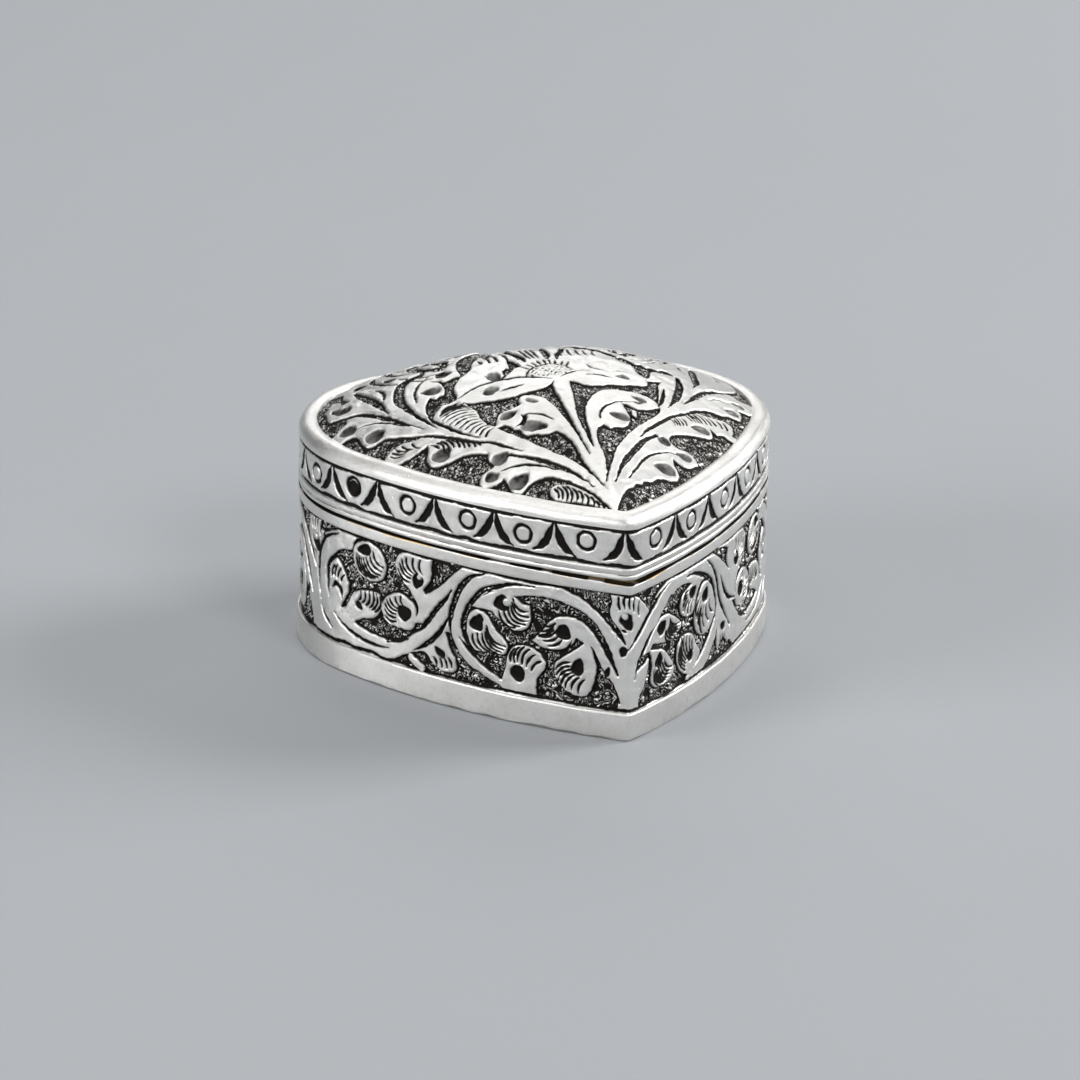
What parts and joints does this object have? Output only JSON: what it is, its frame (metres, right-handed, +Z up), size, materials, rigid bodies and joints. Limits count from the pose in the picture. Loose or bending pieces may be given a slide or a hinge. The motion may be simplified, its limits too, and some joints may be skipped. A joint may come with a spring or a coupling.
{
  "type": "trinket box",
  "caption": "Heart-shaped silver trinket box with a domed hinged lid, chased all over with scrolling leaves.",
  "frame": {"origin": "on the resting face under the box, where the heart's axis of symmetry crosses its widest line", "axes": "+X across the two lobes, -Y towards the point of the heart, +Y towards the hinge, +Z up"},
  "size_m": [0.0506, 0.0534, 0.0303],
  "materials": {
    "silver": "polished silver with fine scratches",
    "chased_silver": "chased silver, raised parts polished, matted ground oxidised nearly black",
    "gilt": "gilt silver, worn satin",
    "pin_silver": "drawn silver wire, satin"
  },
  "bodies": {
    "body": {"base_plate": "silver", "foot_rim": "silver", "body_wall": "chased_silver", "body_rim": "silver", "bezel": "gilt", "body_hinge_seat": "silver", "body_knuckle_left": "silver", "body_knuckle_middle": "silver", "body_knuckle_right": "silver", "hinge_pin": "pin_silver"},
    "lid": {"lid_rim": "silver", "lid_band": "chased_silver", "lid_border": "silver", "lid_dome": "chased_silver", "lid_hinge_seat": "silver", "lid_knuckle_left": "silver", "lid_knuckle_right": "silver"}
  },
  "joints": [
    {"name": "lid_hinge", "type": "hinge", "parent": "body", "child": "lid", "pos_m": [0, 0.01825, 0.017], "axis": [-1, 0, 0], "range_deg": [0, 105]}
  ]
}
